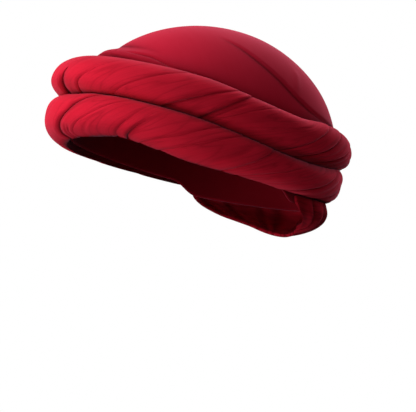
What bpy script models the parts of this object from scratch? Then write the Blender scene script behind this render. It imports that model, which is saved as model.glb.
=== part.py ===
"""A tied turban as it sits on a head: a stretched crown cap, two twisted cloth rolls round it, and a gathered
drape over the nape.

Metres, +Z up. The wearer faces -Y, and +X is the wearer's left. The origin is the centre of the head opening, on
the brow plane, which is the middle plane of the lower roll. That plane is tilted: high at the brow, low at the nape.
Azimuths are counted from the brow towards the wearer's left, in degrees.
"""

import math
from collections import namedtuple

import bmesh
import bpy
import numpy as np
from mathutils import Matrix, Vector

# The head that the turban is tied on, without the cloth
HEAD_LENGTH = 0.193
HEAD_BREADTH = 0.152

# The crown: the top of its cloth and its widest level above the brow plane, and how far its top leans back
CROWN_HEIGHT = 0.0915
WIDEST_LEVEL = 0.012
CROWN_LEAN = 0.0075
BROW_TILT_DEG = 16.0
CAP_CLOTH = 0.002

# Clear space between pieces that lie on each other
SEAT_GAP = 0.0005

# The rolls: how tall each one is, how far each stands out from the cap at the brow, and their deepest crease
ROLL_HEIGHT = 0.030
LOWER_ROLL_DEPTH = 0.0195
UPPER_ROLL_DEPTH = 0.023
PLEAT_DEPTH = 0.0042

# Edges of the crown's wrap layers: how far they stand up, over what width, and how near to the upper roll
WRAP_EDGE = 0.0015
WRAP_RAMP = 0.0045
WRAP_CLEARANCE = 0.004

# How far the cap's rim hides behind the lower roll at the brow, and stands out under the nape drape
CAP_TUCK = 0.006

# The drape over the nape
NAPE_DROP = 0.028
NAPE_TUCK = 0.018
NAPE_CLOTH = 0.0024
NAPE_HALF_ANGLE_DEG = 66.0
NAPE_FOLD_DEPTH = 0.0022

# Colours and finish of the cloth
CROWN_RED = (0.42, 0.012, 0.035)
ROLL_RED = (0.46, 0.010, 0.030)
NAPE_RED = (0.36, 0.010, 0.028)
CLOTH_ROUGHNESS = 0.64

# Mesh densities
CAP_COLUMNS = 54
CAP_ROWS = 16
ROLL_STATIONS = 80
PLEATS = 5
NAPE_COLUMNS = 30
NAPE_ROWS = 7
SHARP_EDGE_DEG = 50.0

# How slowly the cloth rises out of a crease on its two sides, as a share of the way to the next crease
CREASE_BEHIND = 0.22
CREASE_AHEAD = 0.1

# Where the four vertices of one pleat lie between its crease and the next one
PLEAT_STEPS = (0.0, 0.28, 0.62, 0.9)

# The radius of a roll's section before it is shaped, on a ring of radius 1
RING_SECTION = 0.25

# How squarely each outline is rounded, where 2 is an ellipse: the outer half of a roll's section, and the crown's
# profile towards the brow and towards the back
SECTION_POWER = 2.4
CROWN_FRONT_POWER = 2.03
CROWN_BACK_POWER = 1.88

# How much the head narrows below its widest level, for each vault height further down
NAPE_TAPER = 0.06

# How far a roll would stand past the plane where the other one presses it flat, as a share of its half height
ROLL_PRESS = 0.12
# How much a crease narrows the roll's height, against how much it sinks into its face
CREASE_PINCH = 0.35

# Edges of the two rolls, as shares of ROLL_HEIGHT above the brow plane, and how far each roll stands out, as a
# share of its depth
RollRow = namedtuple("RollRow", "azimuth bottom seam top lower_out upper_out")
ROLL_ROWS = (
    RollRow(-150, -0.40, 0.42, 1.40, 0.48, 0.52),
    RollRow(-120, -0.50, 0.36, 1.34, 0.60, 0.60),
    RollRow(-90, -0.56, 0.32, 1.32, 0.74, 0.70),
    RollRow(-60, -0.61, 0.36, 1.38, 0.88, 0.84),
    RollRow(-30, -0.63, 0.44, 1.51, 0.94, 0.96),
    RollRow(-15, -0.58, 0.45, 1.51, 0.98, 1.00),
    RollRow(0, -0.52, 0.46, 1.50, 1.00, 1.00),
    RollRow(15, -0.46, 0.47, 1.46, 0.98, 0.98),
    RollRow(30, -0.39, 0.47, 1.41, 0.95, 0.93),
    RollRow(45, -0.47, 0.44, 1.39, 0.91, 0.85),
    RollRow(60, -0.58, 0.40, 1.36, 0.88, 0.78),
    RollRow(75, -0.59, 0.32, 1.27, 0.84, 0.72),
    RollRow(90, -0.58, 0.24, 1.18, 0.80, 0.67),
    RollRow(105, -0.57, 0.21, 1.15, 0.75, 0.62),
    RollRow(120, -0.52, 0.25, 1.26, 0.67, 0.58),
    RollRow(135, -0.44, 0.34, 1.40, 0.58, 0.56),
    RollRow(150, -0.37, 0.43, 1.48, 0.49, 0.55),
    RollRow(180, -0.34, 0.45, 1.46, 0.43, 0.50),
)

# Creases of each roll in the order that they cross the middle of its outer face, and how deep each one is as a
# share of PLEAT_DEPTH. One crease rises from the bottom of the roll to its top.
CreaseRow = namedtuple("CreaseRow", "azimuth depth")
UPPER_CREASES = (
    CreaseRow(-3, 1.00),
    CreaseRow(14, 0.85),
    CreaseRow(35, 0.40),
    CreaseRow(57, 0.80),
    CreaseRow(68, 0.95),
    CreaseRow(79, 0.50),
    CreaseRow(92, 0.35),
    CreaseRow(107, 0.75),
    CreaseRow(120, 0.50),
    CreaseRow(133, 0.85),
    CreaseRow(150, 0.60),
    CreaseRow(168, 0.90),
    CreaseRow(187, 0.65),
    CreaseRow(207, 0.85),
    CreaseRow(228, 0.60),
    CreaseRow(249, 0.80),
    CreaseRow(270, 0.60),
    CreaseRow(292, 0.85),
    CreaseRow(314, 0.65),
    CreaseRow(337, 0.80),
)
LOWER_CREASES = (
    CreaseRow(0, 1.00),
    CreaseRow(19, 0.50),
    CreaseRow(36, 0.90),
    CreaseRow(45, 0.80),
    CreaseRow(56, 0.60),
    CreaseRow(66, 0.70),
    CreaseRow(85, 0.85),
    CreaseRow(99, 0.50),
    CreaseRow(112, 0.60),
    CreaseRow(126, 0.85),
    CreaseRow(144, 0.65),
    CreaseRow(163, 0.85),
    CreaseRow(182, 0.60),
    CreaseRow(202, 0.85),
    CreaseRow(222, 0.65),
    CreaseRow(243, 0.85),
    CreaseRow(264, 0.60),
    CreaseRow(286, 0.80),
    CreaseRow(309, 0.65),
    CreaseRow(334, 0.85),
)

# Wrap layers of the crown: everything past a plane stands up by a share of WRAP_EDGE. The plane is given by the
# azimuth and lift of its normal and by how far it lies from the origin, as a share of CROWN_HEIGHT.
WrapRow = namedtuple("WrapRow", "azimuth lift distance height")
WRAPS = (
    WrapRow(136, 62.7, 0.805, 1.0),
    WrapRow(0, -76.3, -0.300, 0.7),
)

# The nape drape from its top edge to its hem: drop below the edge as a share of NAPE_DROP, half width as a share of
# NAPE_HALF_ANGLE_DEG, and how far it is drawn in to the neck as a share of NAPE_TUCK
NapeRow = namedtuple("NapeRow", "drop width tuck")
NAPE_SECTIONS = (
    NapeRow(0.00, 1.00, 0.00),
    NapeRow(0.30, 0.97, -0.10),
    NapeRow(0.60, 0.86, 0.05),
    NapeRow(0.85, 0.68, 0.42),
    NapeRow(1.00, 0.50, 0.82),
)
NAPE_FOLDS = 9
# How much less the drape hangs down at its two ends
NAPE_RISE = 0.25

TILT = math.radians(BROW_TILT_DEG)
FORWARD = Vector((0.0, -math.cos(TILT), math.sin(TILT)))
UPWARD = Vector((0.0, math.sin(TILT), math.cos(TILT)))
SIDEWAYS = Vector((1.0, 0.0, 0.0))
CAP_HALF_LENGTH = HEAD_LENGTH / 2 + CAP_CLOTH
CAP_HALF_BREADTH = HEAD_BREADTH / 2 + CAP_CLOTH
VAULT_HEIGHT = CROWN_HEIGHT - WIDEST_LEVEL


def smooth_between(x, knots, values):
    """A smooth curve through the knots, by cubic Hermite pieces."""
    slopes = np.gradient(values, knots)
    i = int(np.clip(np.searchsorted(knots, x) - 1, 0, len(knots) - 2))
    step = knots[i + 1] - knots[i]
    t = (x - knots[i]) / step
    return float(
        (2 * t**3 - 3 * t**2 + 1) * values[i]
        + (t**3 - 2 * t**2 + t) * step * slopes[i]
        + (3 * t**2 - 2 * t**3) * values[i + 1]
        + (t**3 - t**2) * step * slopes[i + 1]
    )


def smooth_around(azimuth, knots, values, gain=0.0):
    """A smooth curve through the knots that closes round the head, gaining this much in each full turn."""
    knots = np.array([knots[-2] - 360, knots[-1] - 360, *knots, knots[0] + 360, knots[1] + 360], float)
    values = np.array([values[-2] - gain, values[-1] - gain, *values, values[0] + gain, values[1] + gain], float)
    return smooth_between((azimuth - knots[2]) % 360 + knots[2], knots, values)


def creases_passed(creases, azimuth):
    """How many creases have crossed the roll's outer face up to an azimuth, as a smooth count."""
    return smooth_around(azimuth, [row.azimuth for row in creases], range(len(creases)), gain=len(creases))


def roll_edge(azimuth, column):
    """A column of the roll table at an azimuth."""
    return smooth_around(azimuth, [row.azimuth for row in ROLL_ROWS], [getattr(row, column) for row in ROLL_ROWS])


def vault_power(azimuth):
    """How squarely the crown's profile is rounded at an azimuth."""
    behind = 0.5 - 0.5 * math.cos(math.radians(azimuth))
    return CROWN_FRONT_POWER + (CROWN_BACK_POWER - CROWN_FRONT_POWER) * behind


def girth(azimuth, level):
    """The cap's girth at a level above the brow plane, as a share of its widest girth."""
    if level >= WIDEST_LEVEL:
        power = vault_power(azimuth)
        return max(0.0, 1 - ((level - WIDEST_LEVEL) / VAULT_HEIGHT) ** power) ** (1 / power)
    return 1 - NAPE_TAPER * ((WIDEST_LEVEL - level) / VAULT_HEIGHT)


def on_head(azimuth, level, share, outward=0.0):
    """A point at an azimuth and level, on the cap's oval scaled by share, moved outward across the oval."""
    angle = math.radians(azimuth)
    side, front = math.sin(angle), math.cos(angle)
    across = Vector((side / CAP_HALF_BREADTH, front / CAP_HALF_LENGTH)).normalized()
    x = CAP_HALF_BREADTH * share * side + outward * across.x
    y = CAP_HALF_LENGTH * share * front + outward * across.y
    lean = CROWN_LEAN * max(0.0, level - WIDEST_LEVEL) / VAULT_HEIGHT
    return SIDEWAYS * x + FORWARD * (y - lean) + UPWARD * level


def wrap_normal(row):
    """The direction that a wrap layer's plane faces."""
    turn, rise = math.radians(row.azimuth), math.radians(row.lift)
    return (SIDEWAYS * math.sin(turn) + FORWARD * math.cos(turn)) * math.cos(rise) + UPWARD * math.sin(rise)


def dyed_cloth(name, colour):
    """A plain cloth material."""
    made = bpy.data.materials.new(name)
    made.use_nodes = True
    shader = made.node_tree.nodes["Principled BSDF"]
    shader.inputs["Base Color"].default_value = (*colour, 1.0)
    shader.inputs["Roughness"].default_value = CLOTH_ROUGHNESS
    shader.inputs["Metallic"].default_value = 0.0
    return made


def place(bm, name, colour):
    """Makes an object of the bmesh in its own cloth, with its faces pointing out and shaded smooth."""
    bmesh.ops.triangulate(bm, faces=bm.faces, quad_method="SHORT_EDGE", ngon_method="BEAUTY")
    bmesh.ops.recalc_face_normals(bm, faces=bm.faces)
    if bm.calc_volume(signed=True) < 0:
        bmesh.ops.reverse_faces(bm, faces=bm.faces)
    mesh = bpy.data.meshes.new(name)
    bm.to_mesh(mesh)
    bm.free()
    mesh.shade_smooth()
    mesh.set_sharp_from_angle(angle=math.radians(SHARP_EDGE_DEG))
    mesh.materials.append(dyed_cloth(name + "_cloth", colour))
    made = bpy.data.objects.new(name, mesh)
    bpy.context.scene.collection.objects.link(made)
    return made


def spin_round(bm, steps):
    """Spins all that the bmesh holds a full turn round the Z axis, and closes it on itself."""
    bmesh.ops.spin(
        bm,
        geom=bm.verts[:] + bm.edges[:],
        cent=(0, 0, 0),
        axis=(0, 0, 1),
        angle=2 * math.pi,
        steps=steps,
        use_merge=True,
    )


def thicken(made, thickness):
    """Gives a sheet its wall, on the side that its faces look away from."""
    wall = made.modifiers.new("wall", "SOLIDIFY")
    wall.thickness = thickness
    wall.offset = -1.0
    wall.use_even_offset = False
    return made


def rim_level(azimuth):
    """The level of the cap's rim: hidden behind the lower roll, and lower under the nape drape."""
    bottom = roll_edge(azimuth, "bottom") * ROLL_HEIGHT
    behind = 0.5 - 0.5 * math.cos(math.radians(azimuth))
    return bottom + CAP_TUCK * (1 - behind) - CAP_TUCK * behind**3


def wrap_lift(point):
    """How far the wrap layers lift the crown's cloth at a point, which is nothing where the upper roll lies on it."""
    azimuth = math.degrees(math.atan2(point.dot(SIDEWAYS), point.dot(FORWARD)))
    above = (point.dot(UPWARD) - roll_edge(azimuth, "top") * ROLL_HEIGHT) / WRAP_CLEARANCE
    lift = 0.0
    for row in WRAPS:
        past = (point.dot(wrap_normal(row)) - row.distance * CROWN_HEIGHT) / WRAP_RAMP + 1
        lift += row.height * WRAP_EDGE * min(max(past, 0.0), 1.0)
    return lift * min(max(above, 0.0), 1.0)


def on_crown(azimuth, share):
    """A point of the cap's outer face, at a share of the way down from its top to its rim."""
    last = math.pi / 2 + (WIDEST_LEVEL - rim_level(azimuth)) / VAULT_HEIGHT
    polar = share * last
    if polar > math.pi / 2:
        level = WIDEST_LEVEL - VAULT_HEIGHT * (polar - math.pi / 2)
        return on_head(azimuth, level, girth(azimuth, level))
    power = 2 / vault_power(azimuth)
    level = WIDEST_LEVEL + VAULT_HEIGHT * math.cos(polar) ** power
    return on_head(azimuth, level, math.sin(polar) ** power)


def crown_cap():
    """The stretched cap: a profile spun round, laid on the head, cut along its wrap layers and raised past them."""
    bm = bmesh.new()
    profile = [bm.verts.new((row / CAP_ROWS, 0.0, 0.0)) for row in range(CAP_ROWS + 1)]
    for upper, lower in zip(profile, profile[1:]):
        bm.edges.new((upper, lower))
    spin_round(bm, CAP_COLUMNS)
    bmesh.ops.remove_doubles(bm, verts=bm.verts, dist=0.1 / CAP_ROWS / CAP_COLUMNS)
    for v in bm.verts:
        share = math.hypot(v.co.x, v.co.y)
        azimuth = math.degrees(math.atan2(v.co.y, v.co.x)) if share > 0 else 0.0
        v.co = on_crown(azimuth, share)
    for row in WRAPS:
        normal = wrap_normal(row)
        edge = row.distance * CROWN_HEIGHT
        for distance in (edge - WRAP_RAMP, edge):
            shape = bm.verts[:] + bm.edges[:] + bm.faces[:]
            bmesh.ops.bisect_plane(bm, geom=shape, dist=WRAP_RAMP / 10, plane_co=normal * distance, plane_no=normal)
    middle = UPWARD * WIDEST_LEVEL
    lifts = [wrap_lift(v.co) for v in bm.verts]
    for v, lift in zip(bm.verts, lifts):
        v.co += (v.co - middle).normalized() * lift
    return thicken(place(bm, "crown_cap", CROWN_RED), CAP_CLOTH)


def crease_dip(creases, twist):
    """How deep the cloth lies at a place in the twist: each crease falls away slowly behind and steeply ahead."""
    before = math.floor(twist)
    part = twist - before
    behind = creases[before % len(creases)].depth * math.exp(-part / CREASE_BEHIND)
    ahead = creases[(before + 1) % len(creases)].depth * math.exp((part - 1) / CREASE_AHEAD)
    return max(behind, ahead)


def on_roll(creases, edges, out_column, depth, pressed, azimuth, turn):
    """A point of a roll's surface, at an azimuth and at a turn round its section, counted up from its outer face."""
    count = creases_passed(creases, azimuth)
    dip = crease_dip(creases, count - turn * PLEATS) * PLEAT_DEPTH
    rise, spread = math.sin(2 * math.pi * turn), math.cos(2 * math.pi * turn)
    power = 2 / SECTION_POWER
    low, high = (roll_edge(azimuth, column) * ROLL_HEIGHT for column in edges)
    half = (high - low - SEAT_GAP / 2) / 2
    middle = (low + high - pressed * SEAT_GAP / 2) / 2
    stretch = 1 + ROLL_PRESS if rise * pressed > 0 else 1.0
    share = stretch * abs(rise) ** power * (1 - CREASE_PINCH * dip / half)
    level = middle + half * math.copysign(min(share, 1.0), rise)
    outward = SEAT_GAP
    if spread > 0:
        outward += (roll_edge(azimuth, out_column) * depth - dip) * spread**power
    return on_head(azimuth, level, girth(azimuth, level), outward)


def roll(name, creases, edges, out_column, depth, pressed):
    """A twisted roll: a ring whose section is turned with the twist, so that its edges follow the creases."""
    steps = len(PLEAT_STEPS)
    corners = PLEATS * steps
    bm = bmesh.new()
    bmesh.ops.create_circle(bm, segments=corners, radius=RING_SECTION)
    bmesh.ops.rotate(bm, verts=bm.verts, cent=(0, 0, 0), matrix=Matrix.Rotation(math.pi / 2, 3, "X"))
    bmesh.ops.translate(bm, verts=bm.verts, vec=(1, 0, 0))
    spin_round(bm, ROLL_STATIONS)
    for v in bm.verts:
        azimuth = math.degrees(math.atan2(v.co.y, v.co.x))
        around = math.atan2(v.co.z, math.hypot(v.co.x, v.co.y) - 1) / (2 * math.pi)
        corner = round(around * corners) % corners
        turn = (creases_passed(creases, azimuth) - corner // steps - PLEAT_STEPS[corner % steps]) / PLEATS
        v.co = on_roll(creases, edges, out_column, depth, pressed, azimuth, turn - round(turn))
    return place(bm, name, ROLL_RED)


def nape_drape():
    """The gathered drape over the nape: a grid laid on the head's back, folded, drawn in and given its wall."""
    bm = bmesh.new()
    bmesh.ops.create_grid(bm, x_segments=NAPE_COLUMNS, y_segments=NAPE_ROWS, size=1.0)
    drops = [row.drop for row in NAPE_SECTIONS]
    for v in bm.verts:
        down = (1 - v.co.y) / 2
        width = smooth_between(down, drops, [row.width for row in NAPE_SECTIONS]) * NAPE_HALF_ANGLE_DEG
        tuck = smooth_between(down, drops, [row.tuck for row in NAPE_SECTIONS]) * NAPE_TUCK
        azimuth = 180 - v.co.x * width
        edge = roll_edge(azimuth, "bottom") * ROLL_HEIGHT - 2 * SEAT_GAP
        level = edge - NAPE_DROP * down * (1 - NAPE_RISE * v.co.x**2)
        fold = NAPE_FOLD_DEPTH * (0.5 + 0.5 * math.cos(math.pi * NAPE_FOLDS * v.co.x)) * math.sin(math.pi * down)
        v.co = on_head(azimuth, level, girth(azimuth, level), SEAT_GAP + NAPE_CLOTH + fold - tuck)
    return thicken(place(bm, "nape_drape", NAPE_RED), NAPE_CLOTH)


def build():
    """Clears the scene and builds the four pieces."""
    for old in list(bpy.data.objects):
        bpy.data.objects.remove(old, do_unlink=True)
    crown_cap()
    roll("lower_roll", LOWER_CREASES, ("bottom", "seam"), "lower_out", LOWER_ROLL_DEPTH, 1)
    roll("upper_roll", UPPER_CREASES, ("seam", "top"), "upper_out", UPPER_ROLL_DEPTH, -1)
    nape_drape()


build()
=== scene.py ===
import logging
import math
from dataclasses import dataclass
from enum import Enum
from typing import Any, NamedTuple

import bmesh
import bpy
import numpy as np
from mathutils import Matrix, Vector


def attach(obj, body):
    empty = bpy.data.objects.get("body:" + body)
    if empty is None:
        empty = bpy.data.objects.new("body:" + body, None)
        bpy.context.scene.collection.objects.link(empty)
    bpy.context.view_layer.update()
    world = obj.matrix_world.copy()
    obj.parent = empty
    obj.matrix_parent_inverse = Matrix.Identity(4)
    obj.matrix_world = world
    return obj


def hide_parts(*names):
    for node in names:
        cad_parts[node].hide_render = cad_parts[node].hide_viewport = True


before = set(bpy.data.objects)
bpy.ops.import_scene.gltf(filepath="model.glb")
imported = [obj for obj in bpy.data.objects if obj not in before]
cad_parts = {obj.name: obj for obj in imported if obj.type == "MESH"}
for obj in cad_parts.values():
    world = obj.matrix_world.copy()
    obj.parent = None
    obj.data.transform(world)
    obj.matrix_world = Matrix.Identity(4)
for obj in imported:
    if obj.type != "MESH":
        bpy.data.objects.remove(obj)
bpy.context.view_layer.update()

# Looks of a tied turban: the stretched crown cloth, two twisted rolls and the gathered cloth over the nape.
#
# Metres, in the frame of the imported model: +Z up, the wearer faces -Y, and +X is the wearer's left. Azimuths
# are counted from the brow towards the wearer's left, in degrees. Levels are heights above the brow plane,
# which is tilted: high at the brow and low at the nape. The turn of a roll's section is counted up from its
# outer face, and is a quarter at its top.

BODY = "root"
Colour = tuple[float, float, float]

log = logging.getLogger("turban")


class RollPlace(Enum):
    """Which of the two rolls a roll is, by the name of its node."""

    LOWER = "lower_roll"
    UPPER = "upper_roll"


class RollEdge(NamedTuple):
    """Edges of the rolls at an azimuth, as shares of a roll's height, and shares of each roll's depth."""

    azimuth: float
    bottom: float
    seam: float
    top: float
    lower_out: float
    upper_out: float


class Crease(NamedTuple):
    """A crease of a roll: the azimuths of its low end, middle and high end on the outer face, and its depth.

    The depth is in roll crease depths. The fade is the share of it that is lost from the bottom to the top,
    and where it is over 1, the crease ends below the top.
    """

    low: float
    middle: float
    high: float
    depth: float
    fade: float


class Wrinkle(NamedTuple):
    """A small wrinkle that runs with the twist.

    The place and the width are counted in creases. The ends are azimuths, and the depth is in crease depths.
    """

    place: float
    start: float
    end: float
    depth: float
    width: float


class Parting(NamedTuple):
    """A place where the two rolls part: its azimuth, how far it reaches each way, and how wide it opens."""

    azimuth: float
    reach: float
    width: float


class LayerEdge(NamedTuple):
    """The edge of a layer wrapped over the crown: azimuths and levels, in millimetres, of places along it.

    The cloth above it, or below it where raised is -1, stands up by the step, over the ramp, with a groove at
    its foot. Past it the cloth settles again, or swells where settle is negative. The edge fades in and out
    over shares of its length.
    """

    places: tuple[tuple[float, float], ...]
    step: float
    groove: float
    ramp: float
    fade_in: float
    fade_out: float
    raised: int = 1
    settle: float = 0.022


class RippleWave(NamedTuple):
    """Fine ridges along the twist: how many go round, their phase, how often they swell, and their height."""

    lines: int
    phase: float
    swells: int
    height: float


class GatherSway(NamedTuple):
    """A wave that makes the nape's gathers uneven: its height in gathers, its waves across, and its phase."""

    height: float
    waves: int
    phase: float


class DragFold(NamedTuple):
    """A soft fold that the crown's cloth is dragged into, between two places on the head."""

    start_azimuth: float
    start_level: float
    end_azimuth: float
    end_level: float
    height: float
    width: float


class NapeSection(NamedTuple):
    """A level of the nape cloth: its drop, its width and how far it is drawn in, as shares of their sizes."""

    drop: float
    width: float
    tuck: float


ROLL_EDGES = (
    RollEdge(-150, -0.40, 0.42, 1.38, 0.48, 0.52),
    RollEdge(-120, -0.50, 0.36, 1.34, 0.60, 0.60),
    RollEdge(-90, -0.56, 0.32, 1.32, 0.74, 0.70),
    RollEdge(-60, -0.61, 0.36, 1.37, 0.88, 0.84),
    RollEdge(-30, -0.63, 0.44, 1.44, 0.94, 0.96),
    RollEdge(-15, -0.58, 0.45, 1.44, 0.98, 1.00),
    RollEdge(0, -0.52, 0.46, 1.44, 1.00, 1.00),
    RollEdge(15, -0.46, 0.47, 1.42, 0.98, 0.98),
    RollEdge(30, -0.39, 0.47, 1.40, 0.95, 0.93),
    RollEdge(45, -0.47, 0.44, 1.39, 0.91, 0.85),
    RollEdge(60, -0.58, 0.40, 1.36, 0.88, 0.78),
    RollEdge(75, -0.59, 0.32, 1.27, 0.84, 0.72),
    RollEdge(90, -0.58, 0.24, 1.18, 0.80, 0.67),
    RollEdge(105, -0.57, 0.21, 1.15, 0.75, 0.62),
    RollEdge(120, -0.52, 0.25, 1.26, 0.67, 0.58),
    RollEdge(135, -0.44, 0.35, 1.31, 0.58, 0.54),
    RollEdge(150, -0.37, 0.48, 1.32, 0.49, 0.50),
    RollEdge(180, -0.34, 0.46, 1.38, 0.43, 0.50),
)

UPPER_CREASES = (
    Crease(-12, 1, 9, 2.10, 1.95),
    Crease(1, 16, 29, 0.75, 1.80),
    Crease(23, 38, 54, 0.30, 0.20),
    Crease(44, 60, 75, 0.95, 0.75),
    Crease(61, 70, 80, 1.10, 0.60),
    Crease(65, 77, 93, 0.45, 0.50),
    Crease(72, 94, 116, 0.20, 0.20),
    Crease(95, 109, 125, 0.75, 0.20),
    Crease(102, 122, 136, 1.10, 0.20),
    Crease(112, 138, 156, 0.95, 0.25),
    Crease(134, 152, 169, 0.85, 0.40),
    Crease(152, 168, 184, 0.90, 0.50),
    Crease(171, 187, 203, 0.55, 0.40),
    Crease(192, 207, 222, 0.85, 0.55),
    Crease(212, 228, 244, 0.50, 0.40),
    Crease(234, 249, 264, 0.80, 0.55),
    Crease(254, 270, 286, 0.55, 0.45),
    Crease(277, 292, 307, 0.85, 0.55),
    Crease(298, 314, 330, 0.55, 0.50),
    Crease(322, 337, 350, 0.80, 0.70),
)

LOWER_CREASES = (
    Crease(-8, 7, 23, 1.40, 0.85),
    Crease(4, 22, 40, 0.22, 0.20),
    Crease(29, 37, 46, 0.60, 1.30),
    Crease(34, 42, 51, 1.30, 1.50),
    Crease(40, 57, 74, 0.40, 0.10),
    Crease(49, 66, 83, 0.45, 0.10),
    Crease(76, 86, 96, 0.75, 0.30),
    Crease(82, 100, 118, 0.55, 0.60),
    Crease(93, 112, 131, 0.30, 0.20),
    Crease(106, 125, 143, 1.00, 0.50),
    Crease(128, 145, 161, 0.85, 0.40),
    Crease(147, 163, 179, 0.85, 0.55),
    Crease(166, 182, 198, 0.55, 0.40),
    Crease(187, 202, 217, 0.85, 0.55),
    Crease(206, 222, 238, 0.50, 0.40),
    Crease(228, 243, 258, 0.85, 0.55),
    Crease(248, 264, 280, 0.55, 0.40),
    Crease(271, 286, 301, 0.80, 0.55),
    Crease(293, 309, 325, 0.55, 0.45),
    Crease(320, 334, 348, 0.85, 0.70),
)

UPPER_WRINKLES = (
    Wrinkle(4.45, 64, 78, 0.12, 0.12),
    Wrinkle(5.50, 70, 96, 0.10, 0.10),
    Wrinkle(8.50, 108, 138, 0.20, 0.10),
    Wrinkle(9.45, 118, 150, 0.16, 0.10),
    Wrinkle(11.40, 160, 190, 0.14, 0.10),
    Wrinkle(13.45, 204, 236, 0.14, 0.10),
    Wrinkle(15.40, 246, 278, 0.12, 0.09),
    Wrinkle(17.45, 290, 320, 0.14, 0.10),
    Wrinkle(19.40, 330, 354, 0.12, 0.09),
)

LOWER_WRINKLES = (
    Wrinkle(0.52, -6, 6, 0.40, 0.05),
    Wrinkle(0.70, -4, 8, 0.45, 0.05),
    Wrinkle(1.30, 8, 20, 0.22, 0.05),
    Wrinkle(5.62, 66, 86, 0.40, 0.09),
    Wrinkle(6.45, 80, 100, 0.12, 0.10),
    Wrinkle(9.45, 118, 150, 0.14, 0.10),
    Wrinkle(11.45, 160, 190, 0.14, 0.10),
    Wrinkle(13.40, 204, 236, 0.14, 0.10),
    Wrinkle(15.45, 246, 276, 0.12, 0.09),
    Wrinkle(17.40, 290, 320, 0.14, 0.10),
)

PARTINGS = (
    Parting(3, 8, 0.60),
    Parting(113, 17, 0.90),
)

LAYER_EDGES = (
    LayerEdge(
        places=((48, 78), (60, 75.5), (72, 71.5), (83, 65.5), (90, 61), (96, 56.5), (103, 50.5), (112, 45),
                (122, 42), (132, 40), (146, 37)),
        step=0.0010, groove=0.0002, ramp=0.0040, fade_in=0.35, fade_out=0.12,
    ),
    LayerEdge(
        places=((8, 49), (20, 48.8), (32, 47.6), (38, 45.5), (44, 43.2), (50, 41.5), (57, 40), (66, 38.5),
                (78, 36)),
        step=0.0010, groove=0.0012, ramp=0.0018, fade_in=0.25, fade_out=0.35,
    ),
    LayerEdge(
        places=((-72, 47), (-56, 50.2), (-40, 51.7), (-24, 52.1), (-8, 51.9), (8, 50.9), (22, 49.5),
                (34, 47.2), (44, 44.5)),
        step=0.0038, groove=0.0003, ramp=0.0095, fade_in=0.35, fade_out=0.40, raised=-1, settle=-0.03,
    ),
)

DRAG_FOLDS = (
    DragFold(111, 0.070, 105, 0.053, 0.0006, 0.0035),
    DragFold(150, 0.072, 158, 0.050, 0.0005, 0.0050),
    DragFold(196, 0.066, 206, 0.050, 0.0005, 0.0050),
)

RIPPLE_WAVES = (
    RippleWave(47, 0.3, 3, 1.0),
    RippleWave(83, 1.9, 5, 0.6),
    RippleWave(131, 4.1, 4, 0.35),
)

GATHER_SWAYS = (
    GatherSway(0.03, 5, 0),
    GatherSway(0.02, 9, 1),
)

NAPE_SECTIONS = (
    NapeSection(0.00, 1.00, 0.00),
    NapeSection(0.30, 0.97, -0.10),
    NapeSection(0.60, 0.86, 0.05),
    NapeSection(0.85, 0.68, 0.42),
    NapeSection(1.00, 0.50, 0.82),
)


def smooth_between(x: np.ndarray, knots: np.ndarray, values: np.ndarray) -> np.ndarray:
    """A smooth curve through knots, by cubic Hermite pieces.

    Args:
        x: Where the curve is read.
        knots: Places of the knots, rising.
        values: The curve's value at each knot.

    Returns:
        The curve's value at each x.
    """
    slopes = np.gradient(values, knots)
    left = np.clip(np.searchsorted(knots, x) - 1, 0, len(knots) - 2)
    step = knots[left + 1] - knots[left]
    t = (x - knots[left]) / step
    return (
        (2 * t**3 - 3 * t**2 + 1) * values[left]
        + (t**3 - 2 * t**2 + t) * step * slopes[left]
        + (3 * t**2 - 2 * t**3) * values[left + 1]
        + (t**3 - t**2) * step * slopes[left + 1]
    )


def soft_step(x: np.ndarray) -> np.ndarray:
    """A step from 0 at 0 to 1 at 1, with soft ends."""
    t = np.clip(x, 0.0, 1.0)
    return t * t * (3 - 2 * t)


@dataclass(frozen=True)
class RingCurve:
    """A smooth curve through knots that closes round the head."""

    azimuths: tuple[float, ...]
    values: tuple[float, ...]

    def at(self, azimuth: np.ndarray) -> np.ndarray:
        """The curve's value at each azimuth."""
        a, v = self.azimuths, self.values
        knots = np.array([a[-2] - 360, a[-1] - 360, *a, a[0] + 360, a[1] + 360], float)
        values = np.array([*v[-2:], *v, *v[:2]], float)
        turns = np.floor((azimuth - knots[2]) / 360)
        return smooth_between(azimuth - 360 * turns, knots, values)


def edge_curve(column: str) -> RingCurve:
    """The curve round the head of one column of the rolls' edges."""
    azimuths = tuple(row.azimuth for row in ROLL_EDGES)
    return RingCurve(azimuths, tuple(getattr(row, column) for row in ROLL_EDGES))


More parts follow.
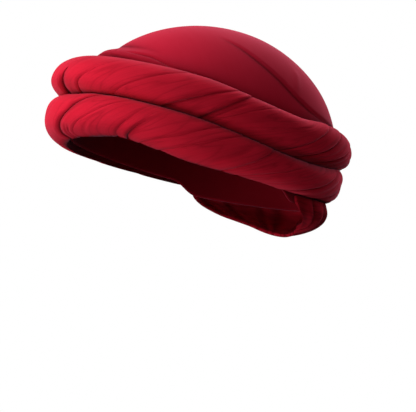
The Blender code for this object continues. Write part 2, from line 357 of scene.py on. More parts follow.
@dataclass(frozen=True)
class HeadForm:
    """The form that the cap takes on a head, and where places on it are."""

    half_length: float = 0.0985
    half_breadth: float = 0.078
    crown_height: float = 0.0915
    widest_level: float = 0.012
    crown_lean: float = 0.0075
    brow_tilt_deg: float = 16.0
    front_power: float = 2.03
    back_power: float = 1.88
    nape_taper: float = 0.06
    roll_height: float = 0.030

    @property
    def vault(self) -> float:
        """The height of the crown above its widest level."""
        return self.crown_height - self.widest_level

    @property
    def axes(self) -> np.ndarray:
        """The directions sideways, forward along the brow plane, and up from it, one in each row."""
        tilt = math.radians(self.brow_tilt_deg)
        flat, steep = math.cos(tilt), math.sin(tilt)
        return np.array([[1, 0, 0], [0, -flat, steep], [0, steep, flat]])

    def power(self, azimuth: np.ndarray) -> np.ndarray:
        """How squarely the crown's profile is rounded, where 2 is an ellipse."""
        behind = 0.5 - 0.5 * np.cos(np.radians(azimuth))
        return self.front_power + (self.back_power - self.front_power) * behind

    def girth(self, azimuth: np.ndarray, level: np.ndarray) -> np.ndarray:
        """The cap's girth at a level, as a share of its widest girth."""
        power = self.power(azimuth)
        height = (level - self.widest_level) / self.vault
        above = np.clip(1 - np.clip(height, 0, 1) ** power, 0, 1) ** (1 / power)
        return np.where(height >= 0, above, 1 + self.nape_taper * height)

    def place(self, azimuth: np.ndarray, level: np.ndarray, share: np.ndarray,
              outward: np.ndarray) -> np.ndarray:
        """Points on the cap's oval.

        Args:
            azimuth: The points' azimuths.
            level: Their levels above the brow plane.
            share: How large the oval is, as a share of the widest one.
            outward: How far each point is moved outward, across the oval.

        Returns:
            One point in each row.
        """
        angle = np.radians(azimuth)
        side, front = np.sin(angle), np.cos(angle)
        across, along = side / self.half_breadth, front / self.half_length
        length = np.hypot(across, along)
        x = self.half_breadth * share * side + outward * across / length
        y = self.half_length * share * front + outward * along / length
        lean = self.crown_lean * np.clip(level - self.widest_level, 0, None) / self.vault
        return np.stack([x, y - lean, level], axis=-1) @ self.axes

    def read(self, points: np.ndarray) -> tuple[np.ndarray, np.ndarray]:
        """The azimuth and level of each point, the azimuth from 0 to 360."""
        side, front, level = (points @ self.axes.T).T
        lean = self.crown_lean * np.clip(level - self.widest_level, 0, None) / self.vault
        angle = np.arctan2(side / self.half_breadth, (front + lean) / self.half_length)
        return np.degrees(angle) % 360, level


HEAD = HeadForm()


class Wire:
    """A value in a material's nodes, on which arithmetic adds Math nodes."""

    def __init__(self, nodes: "ClothNodes", socket: bpy.types.NodeSocket) -> None:
        """Wraps a socket of a material's nodes."""
        self.nodes = nodes
        self.socket = socket

    def math(self, operation: str, *values: "Wire | float") -> "Wire":
        """A Math node's result on these values, in their order."""
        return self.nodes.add("ShaderNodeMath", {"operation": operation}, dict(enumerate(values)))

    def __add__(self, other: "Wire | float") -> "Wire":
        """The sum."""
        return self.math("ADD", self, other)

    __radd__ = __add__

    def __mul__(self, other: "Wire | float") -> "Wire":
        """The product."""
        return self.math("MULTIPLY", self, other)

    def __sub__(self, other: "Wire | float") -> "Wire":
        """The difference."""
        return self.math("SUBTRACT", self, other)

    def __rsub__(self, other: "Wire | float") -> "Wire":
        """The difference from a number."""
        return self.math("SUBTRACT", other, self)

    def __pow__(self, other: "Wire | float") -> "Wire":
        """The power."""
        return self.math("POWER", self, other)

    def sine(self) -> "Wire":
        """The sine."""
        return self.math("SINE", self)

    def size(self) -> "Wire":
        """The value without its sign."""
        return self.math("ABSOLUTE", self)


class ClothNodes:
    """The nodes of one material, and the one way in which they are added."""

    def __init__(self, name: str) -> None:
        """Starts a material with no nodes in it."""
        self.material = bpy.data.materials.new(name)
        self.material.use_nodes = True
        self.tree = self.material.node_tree
        self.tree.nodes.clear()

    def add(self, kind: str, settings: dict[str, Any] | None = None, inputs: dict[Any, Any] | None = None,
            output: int | str = 0) -> Wire:
        """Adds a node.

        Args:
            kind: The node's type.
            settings: Its settings, set before its sockets.
            inputs: The value or the wire of each socket, by the socket's name or number.
            output: Which of its outputs is wanted.

        Returns:
            The wanted output.
        """
        node = self.tree.nodes.new(kind)
        for name, value in (settings or {}).items():
            setattr(node, name, value)
        for key, value in (inputs or {}).items():
            if isinstance(value, Wire):
                self.tree.links.new(value.socket, node.inputs[key])
            else:
                node.inputs[key].default_value = value
        return Wire(self, node.outputs[output])

    def blend(self, share: Wire | float, first: Wire | Colour, second: Wire | Colour) -> Wire:
        """A colour that goes from the first to the second as the share rises."""
        ends = [colour if isinstance(colour, Wire) else (*colour, 1.0) for colour in (first, second)]
        return self.add("ShaderNodeMix", {"data_type": "RGBA"}, {0: share, 6: ends[0], 7: ends[1]}, output=2)

    def finish(self, shader: Wire) -> bpy.types.Material:
        """Ends the material with its surface."""
        out = self.tree.nodes.new("ShaderNodeOutputMaterial")
        self.tree.links.new(shader.socket, out.inputs["Surface"])
        return self.material


@dataclass(frozen=True)
class JerseyFinish:
    """Red stretch jersey: its colours, with the colour that shade is painted in, its sheen, and the size of
    its stitches.
    """

    name: str
    colour: Colour
    # The colour that shade is painted towards: in folds, seams, tucks, fine crease lines and between stitches.
    painted_shade_colour: Colour
    crest_colour: Colour
    roughness: float = 0.62
    # How deep the fine crease lines sink, and how dark shade is painted in them.
    line_depth_and_shade: float = 0.0
    sheen: float = 0.17
    sheen_roughness: float = 0.40
    sheen_tint: Colour = (1.0, 0.42, 0.60)
    specular: float = 0.0
    stitch_width: float = 0.0009
    stitch_height: float = 0.0008
    stitch_relief: float = 0.00012
    relief_strength: float = 0.35
    wale_share: float = 0.65
    course_shift: float = 0.9
    streaks_per_metre: tuple[float, float] = (22.0, 320.0)
    lines_per_metre: tuple[float, float] = (26.0, 210.0)
    line_sharpness: float = 14
    dye_share: float = 0.7
    streak_share: float = 0.35
    # How much of the fold attribute is painted as shade.
    fold_shade_share: float = 0.85
    # How much shade is painted between the stitches.
    stitch_shade_share: float = 0.10

    def material(self) -> bpy.types.Material:
        """Makes the material, which reads the weave map of its piece and paints shade by its fold attribute.
        """
        nodes = ClothNodes(self.name)
        weave = nodes.add("ShaderNodeUVMap", {"uv_map": "weave"})
        place = nodes.add("ShaderNodeTexCoord", output="Object")
        fold = nodes.add("ShaderNodeAttribute", {"attribute_name": "fold"}, output="Fac")
        dye = nodes.add("ShaderNodeTexNoise", {"noise_dimensions": "3D"},
                        {"Vector": place, "Scale": 38.0, "Detail": 3.0, "Roughness": 0.55})
        fuzz = nodes.add("ShaderNodeTexNoise", {"noise_dimensions": "3D"},
                         {"Vector": place, "Scale": 900.0, "Detail": 2.0, "Roughness": 0.6})
        pulled = nodes.add("ShaderNodeMapping", {"vector_type": "POINT"},
                           {"Vector": weave, "Scale": (*self.streaks_per_metre, 1.0)})
        streak = nodes.add("ShaderNodeTexNoise", {"noise_dimensions": "2D"},
                           {"Vector": pulled, "Scale": 1.0, "Detail": 2.0, "Roughness": 0.5})
        split = nodes.add("ShaderNodeSeparateXYZ", None, {"Vector": weave})
        along, across = split, Wire(nodes, split.socket.node.outputs["Y"])
        wales = (across * (math.pi / self.stitch_width)).sine().size()
        courses = (along * (math.pi / self.stitch_height) + wales * self.course_shift).sine().size()
        knit = wales * self.wale_share + courses * (1 - self.wale_share)

        base = nodes.blend(dye * self.dye_share, self.colour, self.crest_colour)
        lit = nodes.blend(streak * self.streak_share, base, self.crest_colour)
        drawn = nodes.add("ShaderNodeMapping", {"vector_type": "POINT"},
                          {"Vector": weave, "Scale": (*self.lines_per_metre, 1.0)})
        crimp = nodes.add("ShaderNodeTexNoise", {"noise_dimensions": "2D"},
                          {"Vector": drawn, "Scale": 1.0, "Detail": 1.5, "Roughness": 0.45})
        # Fine crease lines: sunk into the relief, and painted darker as shade.
        lines = (1 - (crimp * 2 - 1).size()) ** self.line_sharpness * self.line_depth_and_shade * dye
        # Painted shade: the fold attribute and the fine crease lines darken the colour towards the painted
        # shade colour.
        shaded = nodes.blend(fold * self.fold_shade_share + lines, lit, self.painted_shade_colour)
        # Painted shade in the hollows between the knit's stitches.
        stitched = nodes.blend((1 - knit) * self.stitch_shade_share, shaded, self.painted_shade_colour)
        rough = self.roughness + (fuzz - 0.5) * 0.16 + fold * 0.08
        height = knit * 0.6 + fuzz * 0.25 + streak * 0.5 - lines * 2.0
        normal = nodes.add("ShaderNodeBump", None,
                           {"Strength": self.relief_strength, "Distance": self.stitch_relief,
                            "Height": height})
        shader = nodes.add("ShaderNodeBsdfPrincipled", None, {
            "Base Color": stitched,
            "Roughness": rough,
            "Normal": normal,
            "Specular IOR Level": self.specular,
            "Sheen Weight": self.sheen,
            "Sheen Roughness": self.sheen_roughness,
            "Sheen Tint": (*self.sheen_tint, 1.0),
        })
        return nodes.finish(shader)


def rolled_sheet(columns: int, rows: int, centre: float, section: float) -> bmesh.types.BMesh:
    """A flat sheet rolled up and closed on itself, as a ring, or as a disc where the section is nothing.

    Args:
        columns: How many faces go round the Z axis.
        rows: How many go round the section, or from the middle of the disc to its edge.
        centre: The ring's radius at the middle of its section, which is nothing for a disc.
        section: The section's radius, which is nothing for a disc of radius 1.

    Returns:
        The closed sheet.
    """
    bm = bmesh.new()
    bmesh.ops.create_grid(bm, x_segments=columns, y_segments=rows, size=1.0)
    u, v, _ = read_points(bm).T
    reach = centre + section * np.cos(np.pi * v) if section else (1 + v) / 2
    x, y, z = reach * np.cos(np.pi * u), reach * np.sin(np.pi * u), section * np.sin(np.pi * v)
    move_points(bm, np.stack([x, y, z], axis=-1))
    bmesh.ops.remove_doubles(bm, verts=bm.verts, dist=0.1 / rows / columns)
    return bm


def read_points(bm: bmesh.types.BMesh) -> np.ndarray:
    """The bmesh's vertices, one in each row."""
    return np.array([v.co for v in bm.verts], float)


def move_points(bm: bmesh.types.BMesh, points: np.ndarray) -> None:
    """Moves the bmesh's vertices to these places."""
    for v, point in zip(bm.verts, points.tolist()):
        v.co = point


def make_piece(bm: bmesh.types.BMesh, name: str, finish: JerseyFinish, fold: np.ndarray, weave: np.ndarray,
               period: tuple[float, float] | None = None) -> bpy.types.Object:
    """Makes an object of a bmesh, in its cloth.

    Args:
        bm: The shape, in place.
        name: The piece's name.
        finish: Its cloth.
        fold: How much shade is painted on each vertex, from 0 to 1: deep in folds, by seams and where cloth
            tucks under.
        weave: Where each vertex lies in its cloth, along and across, in metres.
        period: How long the cloth is each way before it meets itself, where it does.

    Returns:
        The new object.
    """
    bmesh.ops.recalc_face_normals(bm, faces=bm.faces)
    mesh = bpy.data.meshes.new(name)
    bm.to_mesh(mesh)
    bm.free()
    mesh.shade_smooth()
    shade = np.clip(fold, 0, 1).astype(np.float32)
    mesh.attributes.new("fold", "FLOAT", "POINT").data.foreach_set("value", shade)
    corners = np.zeros(len(mesh.loops), int)
    mesh.loops.foreach_get("vertex_index", corners)
    starts = np.zeros(len(mesh.polygons), int)
    mesh.polygons.foreach_get("loop_start", starts)
    sizes = np.diff(np.append(starts, len(corners)))
    spots = weave[corners]
    for axis, length in enumerate(period or ()):
        highest = np.repeat(np.maximum.reduceat(spots[:, axis], starts), sizes)
        spots[:, axis] += np.where(highest - spots[:, axis] > length / 2, length, 0.0)
    mesh.uv_layers.new(name="weave").data.foreach_set("uv", spots.astype(np.float32).ravel())
    mesh.materials.append(finish.material())
    piece = bpy.data.objects.new(name, mesh)
    bpy.context.scene.collection.objects.link(piece)
    return piece


def thicken(piece: bpy.types.Object, thickness: float) -> None:
    """Gives a sheet its wall, on the side that its faces look away from."""
    wall = piece.modifiers.new("wall", "SOLIDIFY")
    wall.thickness = thickness
    wall.offset = -1.0
    wall.use_even_offset = False


@dataclass
class TwistedRoll:
    """A roll of cloth twisted round the head, with the creases of its twist."""

    place: RollPlace
    finish: JerseyFinish
    creases: tuple[Crease, ...]
    wrinkles: tuple[Wrinkle, ...]
    stand_out: float
    seat_gap: float = 0.0005
    crease_depth: float = 0.0036
    stations: int = 600
    pleats: int = 5
    strands_per_pleat: int = 32
    crowding: float = 0.75
    line_share: float = 0.45
    line_width: float = 1.1
    slope_width: float = 5.0
    lip_drop: float = 0.7
    edge_bend: float = 0.3
    hidden_fade: float = 0.05
    # How wide the shade painted along the seam is.
    seam_shade_width: float = 0.05
    seam_open: float = 0.35
    # How much wider that painted shade is where the rolls part.
    parting_shade: float = 2.0
    section_power: float = 2.4
    press: float = 0.12
    pinch: float = 0.35
    lip_lean: float = 0.010
    lip_width: float = 0.10
    lean_limit: float = 0.2
    lean_fade: float = 0.1
    # How the painted shade grows with a crease's depth.
    fold_shade_power: float = 1.5
    wrinkle_fullness: float = 1.6
    ripple: float = 0.00010
    turn_samples: int = 513
    ring_radius: float = 1.0
    ring_section: float = 0.25
    cloth_width: float = 0.09

    def __post_init__(self) -> None:
        """Works out the curves that the roll's shape follows."""
        names = ("bottom", "seam") if self.place is RollPlace.LOWER else ("seam", "top")
        self.edges = [edge_curve(name) for name in names]
        self.out = edge_curve("lower_out" if self.place is RollPlace.LOWER else "upper_out")
        self.pressed = 1 if self.place is RollPlace.LOWER else -1

    def level_share(self, turn: np.ndarray) -> np.ndarray:
        """How high the face is at a turn of the section, from -1 at its bottom to 1 at its top."""
        rise = np.sin(2 * np.pi * np.clip(turn, -0.25, 0.25))
        return np.copysign(np.abs(rise) ** (2 / self.section_power), rise)

    def crease_azimuths(self, turn: float) -> np.ndarray:
        """Where each crease is at a turn, from the bottom of the section round to it again."""
        low, middle, high = (
            np.array([getattr(row, name) for row in self.creases]) for name in ("low", "middle", "high")
        )
        if turn > 0.25:
            again = np.append(low, low + 360)[self.pleats:self.pleats + len(low)]
            return high + (again - high) * (turn - 0.25) / 0.5
        level = float(self.level_share(np.array(turn)))
        t = level + (4 * turn - level) * self.edge_bend
        return middle + (high - low) / 2 * t + ((high + low) / 2 - middle) * t**2

    def twist_along(self, azimuth: np.ndarray, turns: np.ndarray) -> np.ndarray:
        """The place in the twist at each azimuth, for one turn of the section in each row."""
        counts = np.arange(-len(self.creases), 2 * len(self.creases))
        rows = []
        for turn in turns:
            at = self.crease_azimuths(turn)
            rows.append(np.interp(azimuth, np.concatenate([at - 360, at, at + 360]), counts))
        return np.array(rows)

    def strands(self) -> np.ndarray:
        """Where each strand of vertices lies between creases, crowded towards the creases."""
        even = np.arange(self.strands_per_pleat) / self.strands_per_pleat
        crowded = even - self.crowding * np.sin(2 * np.pi * even) / (2 * np.pi)
        return (np.arange(self.pleats)[:, None] + crowded).ravel()

    def dip(self, azimuth: np.ndarray, turn: np.ndarray, twist: np.ndarray) -> np.ndarray:
        """How deep the cloth lies below the roll's full form, in metres."""
        middle, depth, fade = (
            np.array([getattr(row, name) for row in self.creases]) for name in ("middle", "depth", "fade")
        )
        gaps = np.diff(np.append(middle, middle[0] + 360))
        rise = 0.5 + self.level_share(turn) / 2
        before = np.floor(twist).astype(int)
        one, two = before % len(depth), (before + 1) % len(depth)
        past, left = (twist - before) * gaps[one], (1 + before - twist) * gaps[one]
        narrow = np.exp(-past / (self.line_width * depth[one]))
        behind = self.line_share * narrow + (1 - self.line_share) * np.exp(-past / self.slope_width)
        ahead = np.exp(-left / self.lip_drop)
        dips = np.maximum(
            depth[one] * np.clip(1 - fade[one] * rise, 0, 1) * behind,
            depth[two] * np.clip(1 - fade[two] * rise, 0, 1) * ahead,
        )
        for row in self.wrinkles:
            centre, half = (row.start + row.end) / 2, (row.end - row.start) / 2
            off = (azimuth - centre + 180) % 360 - 180
            window = soft_step(self.wrinkle_fullness * (1 - np.abs(off) / half))
            gap = (twist - row.place + len(depth) / 2) % len(depth) - len(depth) / 2
            dips = dips + row.depth * window * np.exp(-((gap / row.width) ** 2))
        return dips * (1 - soft_step((np.abs(turn) - 0.25) / self.hidden_fade)) * self.crease_depth

    def ripples(self, azimuth: np.ndarray, twist: np.ndarray) -> np.ndarray:
        """Fine ridges that run with the twist, stronger in some places than in others."""
        total = np.zeros_like(twist)
        for row in RIPPLE_WAVES:
            strength = 0.5 + 0.5 * np.cos(np.radians(azimuth) * row.swells + row.phase * 2)
            waves = np.cos(2 * np.pi * row.lines * twist / len(self.creases) + row.phase)
            total += row.height * strength * waves
        return total * self.ripple

    def parted(self, azimuth: np.ndarray) -> np.ndarray:
        """How wide the two rolls part at each azimuth."""
        total = np.zeros_like(azimuth)
        for row in PARTINGS:
            off = (azimuth - row.azimuth + 180) % 360 - 180
            total += row.width * np.exp(-((off / row.reach) ** 2))
        return total

    def cloth(self, azimuth: np.ndarray, turn: np.ndarray,
              twist: np.ndarray) -> tuple[np.ndarray, np.ndarray]:
        """The roll's surface.

        Args:
            azimuth: The azimuth of each vertex.
            turn: Its turn round the section.
            twist: Its place in the twist.

        Returns:
            The points, and how much shade is painted on each one, from 0 to 1.
        """
        dip = self.dip(azimuth, turn, twist)
        part = twist - np.floor(twist)
        lean = self.lip_lean * np.exp((part - 1) / self.lip_width)
        leaned = turn - lean * soft_step((self.lean_limit - np.abs(turn)) / self.lean_fade)
        rise, spread = np.sin(2 * np.pi * leaned), np.cos(2 * np.pi * leaned)
        power = 2 / self.section_power
        low, high = (curve.at(azimuth) * HEAD.roll_height for curve in self.edges)
        half = (high - low - self.seat_gap / 2) / 2
        middle = (low + high - self.pressed * self.seat_gap / 2) / 2
        stretch = np.where(rise * self.pressed > 0, 1 + self.press, 1.0)
        share = np.minimum(stretch * np.abs(rise) ** power * (1 - self.pinch * dip / half), 1.0)
        level = middle + half * np.copysign(share, rise)
        swell = self.out.at(azimuth) * self.stand_out - dip + self.ripples(azimuth, twist)
        parting = self.parted(azimuth)
        roundness = power + (self.seam_open + parting) * np.clip(rise * self.pressed, 0, 1)
        outward = self.seat_gap + np.where(spread > 0, swell * np.clip(spread, 0, None) ** roundness, 0.0)
        # Painted shade: along the seam between the rolls, wider where they part, over the face hidden against
        # the cap and near its edge by the cap, and in the creases by their depth.
        by_seam = rise * self.pressed > 0
        inward = np.where(by_seam, np.abs(self.level_share(turn)) - 1, (np.abs(turn) - 0.25) * 4)
        shade = np.where(by_seam, 1 + self.parting_shade * parting, 1.0)
        seam = np.exp(np.minimum(inward, 0) / (self.seam_shade_width * shade))
        fold = np.maximum((dip / self.crease_depth) ** self.fold_shade_power, seam)
        return HEAD.place(azimuth, level, HEAD.girth(azimuth, level), outward), fold

    def build(self) -> bpy.types.Object:
        """Makes the roll: a ring is spun, and its vertices follow the strands of the twist."""
        steps = self.pleats * self.strands_per_pleat
        bm = rolled_sheet(self.stations, steps, centre=self.ring_radius, section=self.ring_section)
        x, y, z = read_points(bm).T
        station = np.round(np.arctan2(y, x) / (2 * np.pi) * self.stations).astype(int) % self.stations
        across = np.hypot(x, y) - self.ring_radius
        strand = np.round(np.arctan2(z, across) / (2 * np.pi) * steps).astype(int) % steps
        azimuth = station * 360.0 / self.stations
        turn, twist = self.follow_strands(station, self.strands()[strand])
        points, fold = self.cloth(azimuth, (turn + 0.5) % 1 - 0.5, twist)
        move_points(bm, points)
        girth = 2 * np.pi * HEAD.half_length
        weave = np.stack([(azimuth / 360 + 0.5) % 1 * girth, strand / steps * self.cloth_width], axis=-1)
        period = (girth, self.cloth_width)
        piece = make_piece(bm, self.place.value + "_cloth", self.finish, fold, weave, period)
        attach(piece, BODY)
        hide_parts(self.place.value)
        return piece

    def follow_strands(self, station: np.ndarray, strand: np.ndarray) -> tuple[np.ndarray, np.ndarray]:
        """Where each strand crosses each station.

        Args:
            station: The station that each vertex belongs to.
            strand: Where its strand lies between creases.

        Returns:
            The turn and the place in the twist of each vertex.
        """
        turns = np.linspace(-0.25, 0.75, self.turn_samples)
        table = self.twist_along(np.arange(self.stations) * 360 / self.stations, turns)
        turn, twist = np.zeros(len(station)), np.zeros(len(station))
        order = np.argsort(station, kind="stable")
        for members in np.split(order, np.flatnonzero(np.diff(station[order])) + 1):
            along = table[:, station[members[0]]]
            aim = along[0] - (along[0] - strand[members]) % self.pleats
            turn[members] = np.interp(-aim, -along, turns)
            twist[members] = aim
        return turn, twist


@dataclass
class CrownCap:
    """The cap of stretched cloth, with the edges of its wrap layers."""

    finish: JerseyFinish
    columns: int = 276
    rows: int = 100
    fine_zones: tuple[float, float] = (0.008, 0.004)
    cloth: float = 0.002
    rim_tuck: float = 0.006
    nape_start: float = 0.62
    nape_blend: float = 0.10
    clearance: float = 0.002
    tuck_shade: float = 0.0050
    edge_samples: int = 240
    aside_ramps: float = 2.0
    groove_place: float = 0.55
    groove_slope: float = 3.0
    cut_size: tuple[float, float] = (0.22, 0.24)

    def rim(self, azimuth: np.ndarray) -> np.ndarray:
        """The level of the rim: hidden behind the lower roll, and lower under the nape cloth."""
        behind = 0.5 - 0.5 * np.cos(np.radians(azimuth))
        bottom = edge_curve("bottom").at(azimuth) * HEAD.roll_height
        covered = soft_step((behind - self.nape_start) / self.nape_blend)
        return bottom + self.rim_tuck * ((1 - behind) * (1 - covered) - covered)

    def dome(self, azimuth: np.ndarray, share: np.ndarray) -> np.ndarray:
        """Points of the cap's outer face, at a share of the way down from its top to its rim."""
        rim = self.rim(azimuth)
        polar = share * (math.pi / 2 + (HEAD.widest_level - rim) / HEAD.vault)
        power = 2 / HEAD.power(azimuth)
        over = polar <= math.pi / 2
        level = np.where(
            over,
            HEAD.widest_level + HEAD.vault * np.clip(np.cos(polar), 0, 1) ** power,
            HEAD.widest_level - HEAD.vault * (polar - math.pi / 2),
        )
        girth = np.where(over, np.sin(np.minimum(polar, math.pi / 2)) ** power, HEAD.girth(azimuth, level))
        return HEAD.place(azimuth, level, girth, np.zeros_like(level))

    def measure(self, edge: LayerEdge, points: np.ndarray) -> tuple[np.ndarray, np.ndarray]:
        """How far each point lies past a layer's edge, and how far along the edge it is, from 0 to 1."""
        places = np.array(edge.places, float)
        azimuth = np.linspace(places[0, 0], places[-1, 0], self.edge_samples)
        level = smooth_between(azimuth, places[:, 0], places[:, 1] / 1000)
        line = HEAD.place(azimuth, level, HEAD.girth(azimuth, level), np.zeros_like(level))
        steps = np.gradient(line, axis=0)
        across = np.cross(line - HEAD.axes[2] * HEAD.widest_level, steps)
        across /= np.linalg.norm(across, axis=-1, keepdims=True)
        nearest, distance = np.zeros(len(points), int), np.full(len(points), np.inf)
        for spot in range(len(line)):
            apart = np.linalg.norm(points - line[spot], axis=-1)
            closer = apart < distance
            nearest[closer], distance[closer] = spot, apart[closer]
        offset = points - line[nearest]
        past = (offset * across[nearest]).sum(axis=-1) * edge.raised
        beyond = np.sqrt(np.clip(distance**2 - past**2, 0, None)) > edge.ramp * self.aside_ramps
        return np.where(beyond, np.copysign(distance, past), past), nearest / (len(line) - 1)

    def lift(self, points: np.ndarray) -> tuple[np.ndarray, np.ndarray]:
        """How far wrap layers and drag folds lift the cloth, and the shade painted on each point."""
        azimuth, level = HEAD.read(points)
        above = level - edge_curve("top").at(azimuth) * HEAD.roll_height
        free = soft_step(above / self.clearance)
        lifted, fold = np.zeros(len(points)), np.zeros(len(points))
        for edge in LAYER_EDGES:
            past, along = self.measure(edge, points)
            shown = soft_step(along / edge.fade_in) * soft_step((1 - along) / edge.fade_out)
            step = soft_step(past / edge.ramp + 0.5) * np.exp(-np.clip(past, 0, None) / edge.settle)
            groove = np.exp(-np.abs(past / edge.ramp + self.groove_place) * self.groove_slope)
            lifted += (edge.step * step - edge.groove * groove) * shown
            # Painted shade in the groove at the foot of each layer's edge.
            fold = np.maximum(fold, groove * shown)
        for row in DRAG_FOLDS:
            along = np.clip((row.start_level - level) / (row.start_level - row.end_level), -0.5, 1.5)
            ridge = row.start_azimuth + (row.end_azimuth - row.start_azimuth) * along
            off = np.radians((azimuth - ridge + 180) % 360 - 180) * HEAD.half_breadth
            window = np.exp(-((2 * along - 1) ** 4))
            lifted += row.height * window * np.exp(-((off / row.width) ** 2))
        # Painted shade on the cap just above the upper roll, where the cloth goes in behind it.
        painted_tuck_shade = np.exp(-np.clip(above, 0, None) / self.tuck_shade)
        return lifted * free, np.maximum(fold * free, painted_tuck_shade)

    def lay(self, bm: bmesh.types.BMesh) -> np.ndarray:
        """Where the vertices of the flat disc come to lie on the head."""
        x, y, _ = read_points(bm).T
        return self.dome(np.degrees(np.arctan2(y, x)) % 360, np.hypot(x, y))

    def build(self) -> bpy.types.Object:
        """Makes the cap: a disc, cut finer along its layers' edges, laid on the head and raised past them."""
        bm = rolled_sheet(self.columns, self.rows, centre=0.0, section=0.0)
        for reach in self.fine_zones:
            points = self.lay(bm)
            near = np.zeros(len(points), bool)
            for edge in LAYER_EDGES:
                near |= np.abs(self.measure(edge, points)[0]) < reach
            bm.verts.index_update()
            edges = [e for e in bm.edges if near[e.verts[0].index] and near[e.verts[1].index]]
            bmesh.ops.subdivide_edges(bm, edges=edges, cuts=1, use_grid_fill=True)
        move_points(bm, self.lay(bm))
        points = read_points(bm)
        lifted, fold = self.lift(points)
        outward = points - HEAD.axes[2] * HEAD.widest_level
        outward /= np.linalg.norm(outward, axis=-1, keepdims=True)
        points += outward * lifted[:, None]
        move_points(bm, points)
        piece = make_piece(bm, "crown_cap_cloth", self.finish, fold, points[:, :2].copy())
        thicken(piece, self.cloth)
        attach(piece, BODY)
        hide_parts("crown_cap")
        return piece


@dataclass
class NapeDrape:
    """The gathered cloth over the nape, drawn in under itself."""

    finish: JerseyFinish
    columns: int = 260
    rows: int = 84
    drop: float = 0.028
    tuck: float = 0.018
    cloth: float = 0.0024
    half_angle_deg: float = 66.0
    gather_depth: float = 0.0030
    gathers: int = 9
    ridge_power: float = 0.7
    ridge_middle: float = 0.35
    gather_end: float = 1.05
    gather_power: float = 0.8
    fold_shade_share: float = 0.8
    rise: float = 0.25
    seat_gap: float = 0.0005
    cut_size: tuple[float, float] = (0.20, 0.028)

    def build(self) -> bpy.types.Object:
        """Makes the drape: a grid laid on the back of the head, gathered, drawn in and given its wall."""
        bm = bmesh.new()
        bmesh.ops.create_grid(bm, x_segments=self.columns, y_segments=self.rows, size=1.0)
        u, v, _ = read_points(bm).T
        down = (1 - v) / 2
        drops = np.array([row.drop for row in NAPE_SECTIONS])
        widths, tucks = (
            np.array([getattr(row, name) for row in NAPE_SECTIONS]) for name in ("width", "tuck")
        )
        width = smooth_between(down, drops, widths) * self.half_angle_deg
        tuck = smooth_between(down, drops, tucks) * self.tuck
        azimuth = 180 - u * width
        edge = edge_curve("bottom").at(azimuth) * HEAD.roll_height - 2 * self.seat_gap
        level = edge - self.drop * down * (1 - self.rise * u**2)
        swayed = u
        for row in GATHER_SWAYS:
            swayed = swayed + row.height * np.sin(row.waves * np.pi * u + row.phase)
        ridge = np.abs(np.cos(np.pi * self.gathers * swayed / 2)) ** self.ridge_power
        shown = np.sin(np.pi * np.clip(down * self.gather_end, 0, 1)) ** self.gather_power
        gather = self.gather_depth * (ridge - self.ridge_middle) * shown
        outward = self.seat_gap + self.cloth + gather - tuck
        move_points(bm, HEAD.place(azimuth, level, HEAD.girth(azimuth, level), outward))
        weave = np.stack([u * self.cut_size[0] / 2, v * self.cut_size[1] / 2], axis=-1)
        # Shade is painted into the hollows between the gathers.
        piece = make_piece(bm, "nape_drape_cloth", self.finish, (1 - ridge) * self.fold_shade_share, weave)
        thicken(piece, self.cloth)
        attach(piece, BODY)
        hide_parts("nape_drape")
        return piece


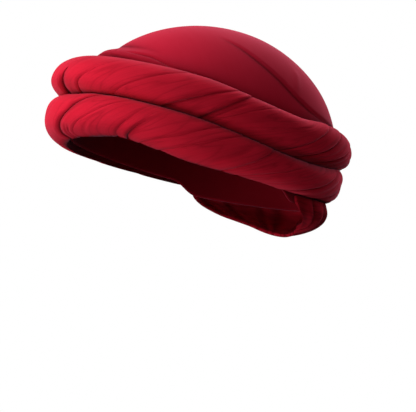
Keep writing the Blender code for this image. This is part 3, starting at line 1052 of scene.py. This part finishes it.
@dataclass
class Studio:
    """The pale floor, the soft lights and the camera at the photograph's angle."""

    azimuth_deg: float = 60.0
    elevation_deg: float = 2.0
    distance: float = 1.35
    frame_width: float = 0.295
    sensor: float = 36.0
    aim_right: float = 0.00496
    aim_up: float = -0.03645
    floor_level: float = -0.32
    floor_size: float = 12.0
    room_light: float = 0.006
    softbox_size: float = 0.8

    def axes(self) -> tuple[Vector, Vector, Vector]:
        """The camera's directions: right, up and back."""
        turn, rise = math.radians(self.azimuth_deg), math.radians(self.elevation_deg)
        back = Vector((math.sin(turn) * math.cos(rise), -math.cos(turn) * math.cos(rise), math.sin(rise)))
        right = Vector((math.cos(turn), math.sin(turn), 0.0))
        return right, back.cross(right), back

    def camera(self) -> None:
        """Places the camera."""
        right, up, back = self.axes()
        data = bpy.data.cameras.new("camera")
        data.sensor_width = self.sensor
        data.lens = self.sensor * self.distance / self.frame_width
        camera = bpy.data.objects.new("camera", data)
        camera.location = right * self.aim_right + up * self.aim_up + back * self.distance
        camera.rotation_euler = back.to_track_quat("Z", "Y").to_euler()
        bpy.context.scene.collection.objects.link(camera)
        bpy.context.scene.camera = camera

    def softbox(self, name: str, side: float, height: float, near: float, power: float) -> None:
        """Hangs a soft light, at a place given to the right, up and towards the camera from the object."""
        right, up, back = self.axes()
        data = bpy.data.lights.new(name, "AREA")
        data.shape = "DISK"
        data.size = self.softbox_size
        data.energy = power
        light = bpy.data.objects.new(name, data)
        light.location = right * side + up * height + back * near
        light.rotation_euler = light.location.to_track_quat("Z", "Y").to_euler()
        bpy.context.scene.collection.objects.link(light)

    def room(self) -> None:
        """Lights the room faintly, and shows it white behind the object."""
        world = bpy.data.worlds.new("room")
        world.use_nodes = True
        nodes = world.node_tree.nodes
        background = nodes["Background"]
        background.inputs["Color"].default_value = (1.0, 1.0, 1.0, 1.0)
        seen = nodes.new("ShaderNodeLightPath")
        level = nodes.new("ShaderNodeMapRange")
        level.inputs["To Min"].default_value = self.room_light
        level.inputs["To Max"].default_value = 1.0
        world.node_tree.links.new(seen.outputs["Is Camera Ray"], level.inputs["Value"])
        world.node_tree.links.new(level.outputs["Result"], background.inputs["Strength"])
        bpy.context.scene.world = world

    def floor(self) -> None:
        """Lays the pale floor, well below the turban, which is held up as a head holds it."""
        bm = bmesh.new()
        bmesh.ops.create_grid(bm, x_segments=1, y_segments=1, size=self.floor_size)
        bmesh.ops.translate(bm, verts=bm.verts, vec=(0, 0, self.floor_level))
        mesh = bpy.data.meshes.new("floor")
        bm.to_mesh(mesh)
        bm.free()
        nodes = ClothNodes("pale_floor")
        glow = nodes.add("ShaderNodeEmission", None, {"Color": (1, 1, 1, 1), "Strength": 1.0})
        mesh.materials.append(nodes.finish(glow))
        floor = bpy.data.objects.new("floor", mesh)
        floor.visible_diffuse = False
        floor.visible_glossy = False
        floor.visible_shadow = False
        bpy.context.scene.collection.objects.link(floor)

    def build(self) -> None:
        """Sets up the whole studio."""
        self.camera()
        self.room()
        self.floor()
        self.softbox("key", side=-1.1, height=0.7, near=0.3, power=15.0)
        self.softbox("top", side=-0.7, height=1.1, near=0.3, power=4.3)
        self.softbox("top_back", side=-0.5, height=1.1, near=-0.5, power=5.5)
        self.softbox("bounce", side=-1.1, height=-0.5, near=0.3, power=8.5)
        self.softbox("low", side=-0.4, height=-1.1, near=0.6, power=2.8)
        self.softbox("fill", side=0.0, height=0.3, near=1.3, power=4.6)
        self.softbox("right_rim", side=0.8, height=0.2, near=-1.0, power=11.5)
        self.softbox("back_rim", side=0.5, height=0.8, near=-0.95, power=10.5)
        bpy.context.scene.view_settings.view_transform = "Standard"


CROWN_JERSEY = JerseyFinish(
    name="crown_jersey",
    colour=(0.46, 0.009, 0.026),
    painted_shade_colour=(0.10, 0.001, 0.004),
    crest_colour=(0.52, 0.016, 0.042),
)
ROLL_JERSEY = JerseyFinish(
    name="roll_jersey",
    colour=(0.50, 0.007, 0.021),
    painted_shade_colour=(0.06, 0.001, 0.002),
    crest_colour=(0.56, 0.014, 0.036),
    line_depth_and_shade=0.50,
    sheen=0.14,
)
# A darker copy of the jersey: shade painted on the nape cloth, which hangs low under the rolls.
SHADED_NAPE_JERSEY = JerseyFinish(
    name="shaded_nape_jersey",
    colour=(0.30, 0.005, 0.014),
    painted_shade_colour=(0.06, 0.001, 0.002),
    crest_colour=(0.36, 0.008, 0.020),
    line_depth_and_shade=0.60,
    sheen=0.03,
)


def main() -> None:
    """Builds the studio and the four pieces, and reports each piece."""
    logging.basicConfig(level=logging.INFO, format="%(name)s: %(message)s")
    Studio().build()
    makers = (
        CrownCap(CROWN_JERSEY),
        TwistedRoll(RollPlace.LOWER, ROLL_JERSEY, LOWER_CREASES, LOWER_WRINKLES, stand_out=0.0195),
        TwistedRoll(RollPlace.UPPER, ROLL_JERSEY, UPPER_CREASES, UPPER_WRINKLES, stand_out=0.023),
        NapeDrape(SHADED_NAPE_JERSEY),
    )
    for maker in makers:
        piece = maker.build()
        log.info("%s: %d faces", piece.name, len(piece.data.polygons))


if __name__ == "__main__":
    main()
